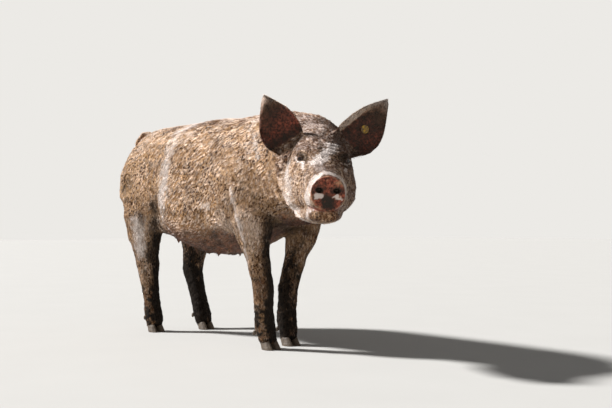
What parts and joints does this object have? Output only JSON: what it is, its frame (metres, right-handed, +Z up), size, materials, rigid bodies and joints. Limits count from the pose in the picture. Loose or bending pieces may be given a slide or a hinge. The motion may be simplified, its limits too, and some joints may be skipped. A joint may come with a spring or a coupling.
{
  "type": "standing domestic pig",
  "caption": "Standing young sow with pale skin under dried mud, head turned to her right, tall pointed ears and a round ear tag.",
  "frame": {"origin": "on the floor, below the middle of the bounding box", "axes": "+X the way her body faces, +Y to her left, +Z up"},
  "size_m": [1.6316, 0.5084, 0.8793],
  "materials": {
    "muddy_skin": "matte skin and short bristles under dried mud",
    "snout_skin": "moist bare skin",
    "ear_skin": "thin skin with fine hair",
    "horn": "dull horn with mud",
    "eye": "wet gloss",
    "tag": "satin moulded plastic"
  },
  "bodies": {
    "root": {"ear_left": "ear_skin", "ear_right": "ear_skin", "ear_tag": "tag", "eye_left": "eye", "eye_right": "eye", "forefoot_left": "muddy_skin", "forefoot_right": "muddy_skin", "foreleg_left": "muddy_skin", "foreleg_left_claw_left": "horn", "foreleg_left_claw_right": "horn", "foreleg_left_dewclaw_left": "horn", "foreleg_left_dewclaw_right": "horn", "foreleg_right": "muddy_skin", "foreleg_right_claw_left": "horn", "foreleg_right_claw_right": "horn", "foreleg_right_dewclaw_left": "horn", "foreleg_right_dewclaw_right": "horn", "head": "muddy_skin", "hindfoot_left": "muddy_skin", "hindfoot_right": "muddy_skin", "hindleg_left": "muddy_skin", "hindleg_left_claw_left": "horn", "hindleg_left_claw_right": "horn", "hindleg_left_dewclaw_left": "horn", "hindleg_left_dewclaw_right": "horn", "hindleg_right": "muddy_skin", "hindleg_right_claw_left": "horn", "hindleg_right_claw_right": "horn", "hindleg_right_dewclaw_left": "horn", "hindleg_right_dewclaw_right": "horn", "neck": "muddy_skin", "snout": "snout_skin", "tail": "muddy_skin", "trunk": "muddy_skin"}
  },
  "joints": []
}
